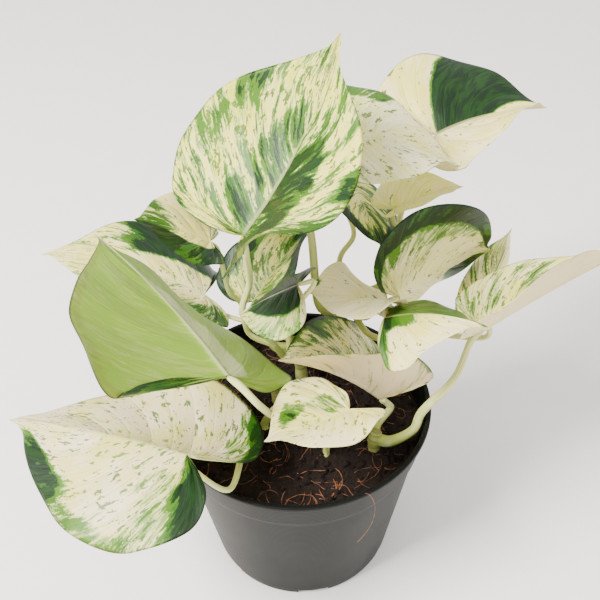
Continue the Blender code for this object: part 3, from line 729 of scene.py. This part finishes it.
def add_stalk(leaf, finish):
    """A leaf stalk: a taper with a broad sheath at its foot and a slight knee below the blade."""
    path = curve_through(stalk_points(leaf), 56)
    share = np.linspace(0.0, 1.0, len(path))
    radii = leaf.girth[0] + (leaf.girth[1] - leaf.girth[0]) * share
    radii = radii * (1 + 0.22 * np.exp(-(share / 0.10) ** 2) + 0.12 * np.exp(-((share - 0.93) / 0.04) ** 2))
    radii[-3:] *= (0.95, 0.85, 0.6)
    places, corners, flat = sweep(path, radii)
    kind = leaf.name.replace("leaf_", "")
    return add_piece("petiole_" + kind, places, corners, finish, ["stalk_" + kind], flat)


def add_stem(vine, finish):
    """A short stem that swells at its nodes and rounds off at the top."""
    rooted = [np.array(vine.points[0], float) - (0, 0, 0.5 * SOCKET_DEPTH)] + list(vine.points)
    path = curve_through([in_pot(point) for point in rooted], 44)
    share = np.linspace(0.0, 1.0, len(path))
    radii = vine.radius * (0.97 + 0.07 * np.cos(math.tau * 3 * share))
    radii[-4:] *= (0.97, 0.88, 0.72, 0.4)
    places, corners, flat = sweep(path, radii, 18)
    return add_piece(vine.name.replace("vine", "stem"), places, corners, finish,
                     [vine.name], flat)


# ---- pot --------------------------------------------------------------------------------------
def wall_radius(height):
    """Outside radius of the plain wall at a height: a straight taper up to the rim."""
    return BASE_RADIUS + (RIM_RADIUS - LIP_OUT - COLLAR_STEP - BASE_RADIUS) * height / POT_HEIGHT


def inner_radius(height):
    """Inside radius of the pot at a height: the wall's taper and the step out to the wider band."""
    step = POT_HEIGHT - COLLAR_DEPTH + WALL
    return wall_radius(height) - WALL + np.clip(height - step, 0.0, COLLAR_STEP)


def lathe(profile, around):
    """A closed surface turned round Z from (radius, height) points that start and end on the axis."""
    turn = np.linspace(0.0, math.tau, around + 1)
    radius, height = np.array(profile, float).T
    places = np.stack([radius[:, None] * np.cos(turn), radius[:, None] * np.sin(turn),
                       np.repeat(height[:, None], around + 1, 1)], 2).reshape(-1, 3)
    flat = np.stack(np.broadcast_arrays(turn[None, :] / math.tau,
                                        np.linspace(0, 1, len(profile))[:, None]), 2).reshape(-1, 2)
    return closed(places, weave(len(profile), around + 1), flat)


def arc(centre, radius, start, stop, count):
    """Points on an arc in the (radius, height) plane, angles in degrees."""
    angle = np.radians(np.linspace(start, stop, count))
    return list(zip(centre[0] + radius * np.cos(angle), centre[1] + radius * np.sin(angle)))


def pot_finish():
    """Moulded dark plastic: faint turned rings, dust in the grain, painted highlight in lighter vertical
    streaks and a soft sheen.
    """
    paint = Paint("nursery_pot_plastic")
    here = paint.place()
    x, y, z = paint.parts(here)
    mould = paint.noise(here, 2600.0, 3.0, 0.6)
    dust = paint.noise(here, 42.0, 4.0, 0.6)
    rings = (z * 5200.0 + dust * 2.0).sine()
    # painted highlight: noise stretched up and down the wall, for soft vertical streaks of light
    painted_highlight_streaks = paint.noise(paint.joined(x * 160.0, y * 160.0, z * 14.0), 1.0, 3.0, 0.6)
    colour = paint.mix(dust, tone(9, 11, 11), tone(17, 19, 18))
    # lighter vertical streaks of painted highlight over the dark plastic
    colour = paint.mix(paint.step(painted_highlight_streaks, 0.60, 0.78) * 0.30, colour, tone(36, 38, 36))
    relief = paint.bump(mould * 0.5 + rings * 0.25, 0.0002, 0.35)
    return paint.finish(base_color=colour, roughness=dust * 0.14 + 0.32 + mould * 0.05,
                        specular_ior_level=0.11, normal=relief)


def add_pot():
    """The pot: one turned wall, with the drain holes and the notches cut out of it."""
    collar = POT_HEIGHT - COLLAR_DEPTH
    lip = POT_HEIGHT - LIP_DROP
    profile = [(0.0, 0.0), (20.0, 0.0), (BASE_RADIUS - BASE_CHAMFER, 0.0)]
    profile += arc((BASE_RADIUS - BASE_CHAMFER, BASE_CHAMFER), BASE_CHAMFER, -60, 0, 5)
    profile += [(wall_radius(height), height) for height in np.linspace(4.0, collar - 0.6, 40)]
    profile += [(wall_radius(collar) + 0.15, collar - 0.25),
                (wall_radius(collar) + COLLAR_STEP - 0.2, collar + 0.4),
                (wall_radius(collar + 1.0) + COLLAR_STEP, collar + 1.0)]
    profile += [(wall_radius(height) + COLLAR_STEP, height)
                for height in np.linspace(collar + 2, lip - 0.7, 10)]
    profile += [(wall_radius(lip) + COLLAR_STEP + 0.15, lip - 0.25)]
    profile += arc((RIM_RADIUS - 0.6, lip + 0.6), 0.6, -70, 0, 5)
    profile += arc((RIM_RADIUS - 0.6, POT_HEIGHT - 0.6), 0.6, 0, 90, 6)
    profile += arc((inner_radius(POT_HEIGHT) + 0.4, POT_HEIGHT - 0.4), 0.4, 90, 180, 4)
    profile += [(inner_radius(height), height) for height in np.linspace(POT_HEIGHT - 2, collar + 3, 10)]
    profile += [(inner_radius(height), height) for height in np.linspace(collar + 1.0, FLOOR, 12)]
    profile += [(20.0, FLOOR), (0.0, FLOOR)]
    places, corners, flat = lathe(profile, 160)
    pot = add_piece("nursery_pot", places, corners, pot_finish(), ["pot"], flat)
    holes = []
    for index in range(DRAIN_COUNT):
        hole_turn = NOTCH_TURN + math.tau * (index + 0.5) / DRAIN_COUNT
        middle = DRAIN_RING * np.array([math.cos(hole_turn), math.sin(hole_turn), 0.0])
        holes.append(sweep([middle - (0, 0, FLOOR), middle + (0, 0, 3 * FLOOR)], [DRAIN_RADIUS] * 2, 32))
        notch_turn = NOTCH_TURN + math.tau * index / DRAIN_COUNT
        corner = np.array([[-1, -1], [1, -1], [1, 1], [-1, 1]]) * (NOTCH_DEPTH, NOTCH_WIDTH / 2)
        ring = np.array([[BASE_RADIUS + across, beside, 0.0] for across, beside in corner])
        spun = ring @ np.array(Matrix.Rotation(-notch_turn, 3, "Z"))
        box = np.concatenate([spun - (0, 0, NOTCH_HEIGHT), spun + (0, 0, NOTCH_HEIGHT)])
        faces = np.array([[0, 2, 1], [0, 3, 2], [4, 5, 6], [4, 6, 7], [0, 1, 5], [0, 5, 4], [1, 2, 6],
                          [1, 6, 5], [2, 3, 7], [2, 7, 6], [3, 0, 4], [3, 4, 7]])
        holes.append((box, faces, np.zeros((12, 3, 2))))
    tool_places, tool_corners, _ = gathered(holes)
    tool = bpy.data.meshes.new("hole_tool")
    tool.from_pydata((tool_places * MM).tolist(), [], tool_corners.tolist())
    cutter = bpy.data.objects.new("hole_tool", tool)
    bpy.context.scene.collection.objects.link(cutter)
    boolean = pot.modifiers.new("holes", "BOOLEAN")
    boolean.operation = "DIFFERENCE"
    boolean.solver = "EXACT"
    boolean.object = cutter
    cut = bpy.data.meshes.new_from_object(pot.evaluated_get(bpy.context.evaluated_depsgraph_get()))
    pot.modifiers.clear()
    pot.data = cut
    bpy.data.objects.remove(cutter, do_unlink=True)
    cut.set_sharp_from_angle(angle=math.radians(40))
    return pot


# ---- soil -------------------------------------------------------------------------------------
def lumps(draw, x, y, size, count=24):
    """A smooth random height from -1 to 1: cosines of random direction whose waves are about size."""
    angle = draw.uniform(0, math.tau, count)
    wave = math.tau / (size * draw.uniform(0.6, 1.6, count))
    phase = draw.uniform(0, math.tau, count)
    total = np.zeros_like(x)
    for turn, rate, start in zip(angle, wave, phase):
        total += np.cos(rate * (x * math.cos(turn) + y * math.sin(turn)) + start)
    return total / math.sqrt(count) / 1.6


def soil_finish():
    """Damp potting mix: near-black crumbs with brown specks."""
    paint = Paint("potting_mix")
    here = paint.place()
    crumb = paint.noise(here, 420.0, 5.0, 0.7)
    speck = paint.noise(here, 1400.0, 3.0, 0.6)
    damp = paint.noise(here, 45.0, 3.0, 0.5)
    colour = paint.mix(crumb, tone(12, 9, 8), tone(40, 28, 23))
    colour = paint.mix(paint.step(speck, 0.60, 0.72) * 0.6, colour, tone(78, 52, 38))
    return paint.finish(base_color=colour, roughness=damp * 0.2 + 0.78, specular_ior_level=0.2,
                        normal=paint.bump(crumb + speck * 0.6, 0.0022, 0.9))


def fibre_finish():
    """Coir fibre: red-brown, lighter and darker along its length."""
    paint = Paint("coir_fibre")
    here = paint.place()
    shade = paint.noise(here, 260.0, 2.0, 0.5)
    colour = paint.mix(paint.step(shade, 0.35, 0.65), tone(60, 34, 24), tone(132, 82, 52))
    return paint.finish(base_color=colour, roughness=0.62, normal=paint.bump(shade, 0.0003, 0.4))


def soil_height(x, y):
    """Height of the crumbly soil surface in mm: a low crown with lumps of three sizes."""
    radius = np.hypot(x, y) / inner_radius(SOIL_LEVEL)
    crown = SOIL_LEVEL - SOIL_CROWN + 2 * SOIL_CROWN * (1 - radius ** 2)
    draw = np.random.default_rng(SOIL_SEED)
    return crown + sum(height * lumps(draw, x, y, size) for size, height in SOIL_LUMPS)


def add_soil():
    """Potting mix: a disc whose top follows soil_height, closed by a wall and a floor in the pot."""
    edge = inner_radius(SOIL_LEVEL) - SOIL_GAP
    turn = np.linspace(0.0, math.tau, 241)
    turn[-1] = 0.0
    radius = np.concatenate([[0.0], np.linspace(0.6, edge, 88)])
    x, y = radius[:, None] * np.cos(turn), radius[:, None] * np.sin(turn)
    top = np.stack([x, y, soil_height(x, y)], 2)

    def level_ring(radius, height):
        return np.stack([radius * np.cos(turn), radius * np.sin(turn), np.full_like(turn, height)], 1)[None]

    below, foot = SOIL_LEVEL - 12, FLOOR + SOIL_LIFT
    rows = np.concatenate([top, level_ring(inner_radius(below) - SOIL_GAP, below),
                           level_ring(inner_radius(foot) - SOIL_GAP, foot), level_ring(0.0, foot)])[::-1]
    places, corners, _ = closed(rows.reshape(-1, 3), weave(len(rows), len(turn)))
    return add_piece("potting_mix", places, corners, soil_finish(), ["soil"])


def add_crumbs():
    """Loose crumbs on the soil: small lumpy balls, radius 0.7 to 1.9 mm, half sunk."""
    count = CRUMB_COUNT
    angle = RANDOM.uniform(0, math.tau, count)
    radius = (inner_radius(SOIL_LEVEL) - 3.0) * np.sqrt(RANDOM.uniform(0, 1, count))
    x, y = radius * np.cos(angle), radius * np.sin(angle)
    size = RANDOM.uniform(0.7, 1.9, count)
    middle = np.stack([x, y, soil_height(x, y) + 0.25 * size], 1)
    up = np.linspace(0, math.pi, 6)
    around = np.linspace(0, math.tau, 8)
    ball = np.stack([np.sin(up)[:, None] * np.cos(around), np.sin(up)[:, None] * np.sin(around),
                     np.repeat(-np.cos(up)[:, None], len(around), 1)], 2).reshape(-1, 3)
    distinct, corners, _ = closed(ball, weave(len(up), len(around)))
    squash = RANDOM.uniform(0.6, 1.2, (count, 1, 3))
    bumps = 1 + 0.18 * RANDOM.standard_normal((count, len(distinct), 1))
    places = (middle[:, None] + distinct[None] * squash * bumps * size[:, None, None]).reshape(-1, 3)
    faces = (corners[None] + np.arange(count)[:, None, None] * len(distinct)).reshape(-1, 3)
    return add_piece("soil_crumbs", places, faces, soil_finish(), None)


def add_fibres():
    """Coir fibres lying on the soil: thin curved strands that rise a little at their ends."""
    strands = []
    for _ in range(FIBRE_COUNT):
        angle = RANDOM.uniform(0, math.tau)
        radius = (inner_radius(SOIL_LEVEL) - 5.0) * math.sqrt(RANDOM.uniform(0.0, 1))
        heading = RANDOM.uniform(0, math.tau)
        length = RANDOM.uniform(4.0, 17.0)
        bend = RANDOM.uniform(-1.6, 1.6)
        lift = RANDOM.uniform(0.0, 2.0) * (RANDOM.uniform() < 0.35)
        share = np.linspace(-0.5, 0.5, 8)
        x = radius * math.cos(angle) + length * share * np.cos(heading + bend * share)
        y = radius * math.sin(angle) + length * share * np.sin(heading + bend * share)
        reach = np.maximum(np.hypot(x, y) / (inner_radius(SOIL_LEVEL) - 2.5), 1.0)
        x, y = x / reach, y / reach
        z = soil_height(x, y) + 0.35 + lift * (share + 0.5) ** 2
        strands.append(sweep(np.stack([x, y, z], 1), np.full(8, RANDOM.uniform(0.09, 0.2)), 5))
    places, corners, flat = gathered(strands)
    return add_piece("coir_fibres", places, corners, fibre_finish(), None, flat)


def add_hanging_fibre():
    """One coir fibre that crosses the rim and hangs down the pot's wall at the front."""
    route = [(20, -44, 84.6), (23, -52, 88), (26.5, -54.5, 93.0), (28, -55.6, 94.6), (30, -56.2, 92),
             (31.5, -55.5, 84), (31, -54.5, 74), (29.5, -53.2, 66), (27, -53.4, 60), (24.5, -53.6, 56)]
    path = curve_through(route, 60)
    wall = wall_radius(path[:, 2]) + COLLAR_STEP + 0.6
    hang = path[:, 2] < POT_HEIGHT - 1
    reach = np.hypot(path[:, 0], path[:, 1])
    outside = hang & (np.arange(len(path)) > len(path) // 3)
    push = np.where(outside, np.maximum(wall / reach, 1.0), 1.0)
    path[:, :2] *= push[:, None]
    places, corners, flat = sweep(path, np.full(len(path), 0.16), 6)
    return add_piece("hanging_fibre", places, corners, fibre_finish(), None, flat)


# ---- looks of the leaves ----------------------------------------------------------------------
ALL_ALONG = (-0.1, 1.1)
ALL_ACROSS = (-0.1, 1.2)
PINK_CREAM = ((216, 196, 152), (104, 122, 66))
LOOKS = {
    "leaf_low_left": Look(
        1.0, 0.20, [Patch(1, (0.08, 0.36), (0.40, 1.2), 0.72), Patch(1, (-0.1, 0.34), (-0.1, 0.45), 0.46),
                    Patch(1, (0.39, 0.48), (0.2, 1.2), 0.30), Patch(1, (0.47, 0.66), (0.85, 1.2), 0.26),
                    Patch(1, (0.66, 0.88), (0.70, 1.2), 0.62), Patch(-1, (0.02, 0.13), (0.55, 1.2), 0.36),
                    Patch(-1, (0.15, 0.36), (0.84, 1.2), 0.60),
                    Patch(-1, (0.20, 0.34), (0.55, 0.86), 0.26)],
        blotch=0.7, streak=0.9, speck=1.1, cream=(222, 208, 168)),
    "leaf_turned_left": Look(
        2.0, 0.68, [Patch(1, (0.40, 1.0), (0.04, 0.34), -0.34), Patch(0, (0.92, 1.1), ALL_ACROSS, -0.35),
                    # Patch(-1, (0.38, 0.52), (0.5, 0.8), -0.10) is a paler spot in the middle of the right
                    # half: a painted highlight
                    Patch(-1, (0.38, 0.52), (0.5, 0.8), -0.10), Patch(-1, (0.30, 0.95), (0.90, 1.2), 0.24),
                    Patch(1, ALL_ALONG, (0.95, 1.2), 0.2)],
        blotch=0.5, streak=0.7, under=((186, 196, 142), (126, 160, 46))),
    "leaf_far_left": Look(
        3.0, 0.28, [Patch(-1, (0.08, 0.68), (0.38, 1.2), 0.66), Patch(-1, (0.1, 0.4), (-0.1, 0.3), -0.12),
                    Patch(1, (0.18, 0.50), (0.40, 1.2), 0.30), Patch(0, (0.84, 1.1), ALL_ACROSS, -0.12)],
        blotch=0.9, streak=1.1, speck=0.8, cream=(226, 214, 160)),
    "leaf_small_left": Look(
        4.0, 0.14, [Patch(1, (0.10, 0.88), (0.35, 1.2), 0.66), Patch(0, (0.70, 1.1), ALL_ACROSS, 0.46),
                    Patch(-1, (-0.1, 0.36), (0.4, 1.2), 0.26)], blotch=0.7, streak=0.8),
    "leaf_crown": Look(
        5.0, 0.33, [Patch(1, (0.12, 0.80), (-0.1, 0.40), 0.24), Patch(1, (0.50, 0.95), (0.40, 1.0), 0.08),
                    Patch(-1, (0.34, 0.72), (-0.1, 0.56), 0.44, sweep=0.05),
                    Patch(-1, (-0.1, 0.56), (0.66, 0.86), 0.14), Patch(-1, (-0.1, 0.64), (0.87, 1.2), 0.34),
                    Patch(1, (-0.1, 0.34), (0.90, 1.2), 0.36)],
        blotch=1.1, streak=1.9, speck=1.2, cream=(222, 214, 118), under=((140, 160, 70), (44, 78, 30))),
    "leaf_under_crown": Look(
        6.0, 0.42, [Patch(1, (0.05, 0.62), (0.70, 1.2), 0.50), Patch(-1, (0.20, 1.1), (0.66, 1.2), 0.45),
                    Patch(1, (0.08, 0.40), (0.25, 0.5), -0.2), Patch(0, (0.85, 1.1), ALL_ACROSS, 0.4)],
        blotch=0.7, streak=1.4, speck=1.4, cream=(212, 204, 124)),
    "leaf_small_centre": Look(
        7.0, 0.24, [Patch(0, (0.28, 0.85), (-0.1, 0.55), 0.66), Patch(-1, (0.08, 1.1), (0.3, 1.2), 0.70),
                    Patch(1, (0.30, 0.90), (0.55, 1.2), 0.16)],
        blotch=0.7, streak=0.7, cream=(204, 196, 150)),
    "leaf_back_right": Look(
        8.0, 0.06, [Patch(1, (0.40, 0.74), ALL_ACROSS, 0.95, 0.03, 0.16),
                    Patch(-1, (0.42, 0.66), (0.05, 0.3), 0.28)],
        blotch=0.5, streak=0.7, speck=0.4, cream=(234, 220, 162)),
    "leaf_back_white": Look(
        9.0, 0.16, [Patch(1, (0.42, 0.62), (0.74, 1.2), 0.42), Patch(0, (0.22, 0.45), (0.1, 0.8), 0.16)],
        blotch=0.8, streak=1.1, speck=0.8, cream=(238, 230, 188)),
    "leaf_small_back": Look(
        10.0, 0.06, [Patch(0, (0.32, 0.44), (-0.1, 0.3), 0.4)], blotch=0.4, streak=0.4, speck=0.1,
        cream=(232, 226, 158)),
    "leaf_mottled_back": Look(
        11.0, 0.40, [Patch(1, (0.10, 0.90), (0.74, 1.2), 0.35), Patch(-1, (0.5, 0.8), (0.7, 1.2), 0.5),
                     Patch(0, (0.82, 1.1), ALL_ACROSS, 0.4), Patch(0, (-0.1, 0.3), (-0.1, 0.8), 0.12)],
        blotch=0.8, streak=1.6, speck=1.5, cream=(232, 226, 146)),
    "leaf_right": Look(
        12.0, 0.10, [Patch(1, (0.08, 0.95), (0.78, 1.2), 0.66), Patch(1, (0.20, 0.92), (0.54, 0.82), 0.36),
                     Patch(1, (0.42, 0.60), (0.25, 0.55), 0.22), Patch(-1, (0.70, 0.93), (0.35, 1.2), 0.66),
                     Patch(-1, (0.08, 0.40), (0.4, 0.9), 0.16)],
        blotch=0.7, streak=0.8, speck=0.5, cream=(236, 224, 172)),
    "leaf_lower_right": Look(
        13.0, 0.10, [Patch(1, (0.30, 0.92), ALL_ACROSS, 0.52), Patch(-1, (-0.1, 0.44), ALL_ACROSS, 0.56),
                     Patch(-1, (0.40, 0.64), (-0.1, 0.26), 0.48), Patch(0, (0.93, 1.1), ALL_ACROSS, 0.5)],
        blotch=0.4, streak=0.5, speck=0.3, cream=(234, 220, 162)),
    "leaf_folded_centre": Look(
        14.0, 0.27, [Patch(-1, (0.60, 0.80), (0.66, 1.2), 0.30), Patch(1, (-0.1, 0.20), (0.30, 0.80), 0.60),
                     Patch(0, ALL_ALONG, (0.96, 1.3), 0.35)],
        blotch=0.7, streak=1.5, speck=1.4, cream=(238, 226, 168), under=PINK_CREAM),
    "leaf_small_front": Look(
        15.0, 0.14, [Patch(-1, (0.17, 0.34), (0.30, 0.74), 0.24),
                     Patch(-1, (0.42, 0.58), (0.08, 0.5), 0.36),
                     Patch(-1, (0.66, 0.80), (0.38, 0.80), 0.46), Patch(0, ALL_ALONG, (0.97, 1.3), 0.2)],
        blotch=0.7, streak=1.3, speck=0.7, cream=(234, 222, 168)),
    "leaf_upright_right": Look(
        16.0, 0.38, [Patch(-1, ALL_ALONG, (0.75, 1.2), -0.3)],
        blotch=0.7, streak=1.3, speck=1.0, cream=(238, 232, 180)),
    "leaf_far_right": Look(
        17.0, 0.22, [Patch(1, (0.30, 0.55), (0.3, 1.2), 0.20), Patch(1, (0.60, 0.95), (0.3, 0.9), 0.16)],
        blotch=0.7, streak=1.5, speck=0.8, cream=(236, 226, 168), under=((226, 208, 158), (150, 162, 84))),
    "leaf_cupped_centre": Look(
        18.0, 0.04, [Patch(-1, (0.80, 1.1), (0.78, 1.2), 0.8), Patch(1, (0.9, 1.1), (0.7, 1.2), 0.6)],
        blotch=0.3, streak=0.35, speck=0.1, cream=(236, 222, 176)),
}


# ---- room and camera --------------------------------------------------------------------------
def add_camera():
    """A camera that looks down at the middle of the plant from the front, with a slight roll."""
    target = Vector(CAMERA_TARGET) * MM
    back = Vector((0.0, -math.cos(CAMERA_RISE), math.sin(CAMERA_RISE)))
    camera = bpy.data.objects.new("camera", bpy.data.cameras.new("camera"))
    camera.data.lens = CAMERA_LENS
    camera.data.sensor_width = CAMERA_SENSOR
    camera.data.clip_start = 0.01
    turn = (-back).to_track_quat("-Z", "Y").to_matrix() @ Matrix.Rotation(CAMERA_ROLL, 3, "Z")
    camera.matrix_world = Matrix.Translation(target + back * CAMERA_DISTANCE * MM) @ turn.to_4x4()
    bpy.context.scene.collection.objects.link(camera)
    bpy.context.scene.camera = camera


def add_light(name, place, size, power, colour=(1.0, 1.0, 1.0)):
    """A square soft light in metres and watts that faces the plant."""
    data = bpy.data.lights.new(name, "AREA")
    data.size = size
    data.energy = power
    data.color = colour
    light = bpy.data.objects.new(name, data)
    light.location = place
    light.rotation_euler = (Vector((0, 0, 0.12)) - Vector(place)).to_track_quat("-Z", "Y").to_euler()
    bpy.context.scene.collection.objects.link(light)


def add_room():
    """A plain pale floor and an even pale sky light."""
    mesh = bpy.data.meshes.new("floor")
    mesh.from_pydata([(-3, -3, 0), (3, -3, 0), (3, 3, 0), (-3, 3, 0)], [], [(0, 1, 2, 3)])
    floor = bpy.data.objects.new("floor", mesh)
    bpy.context.scene.collection.objects.link(floor)
    paint = Paint("pale_floor")
    grain = paint.noise(paint.place(), 30.0, 3.0, 0.5)
    colour = paint.mix(grain, tone(243, 240, 237), tone(247, 245, 243))
    mesh.materials.append(paint.finish(base_color=colour, roughness=0.7))
    world = bpy.data.worlds.new("soft_room")
    world.use_nodes = True
    world.node_tree.nodes["Background"].inputs["Color"].default_value = (1.0, 0.985, 0.97, 1.0)
    world.node_tree.nodes["Background"].inputs["Strength"].default_value = SKY_STRENGTH
    bpy.context.scene.world = world


def main():
    add_camera()
    add_room()
    add_light("key", (-0.9, -0.5, 1.3), 0.6, 75.0, (1.0, 0.97, 0.92))
    add_light("fill", (0.9, -1.0, 0.9), 1.2, 7.0)
    add_pot()
    add_soil()
    add_crumbs()
    add_fibres()
    add_hanging_fibre()
    bark = bark_finish()
    for vine in VINES:
        add_stem(vine, bark)
    stalk = stalk_finish()
    for leaf in LEAVES:
        add_blade(leaf, LOOKS[leaf.name])
        add_stalk(leaf, stalk)


main()
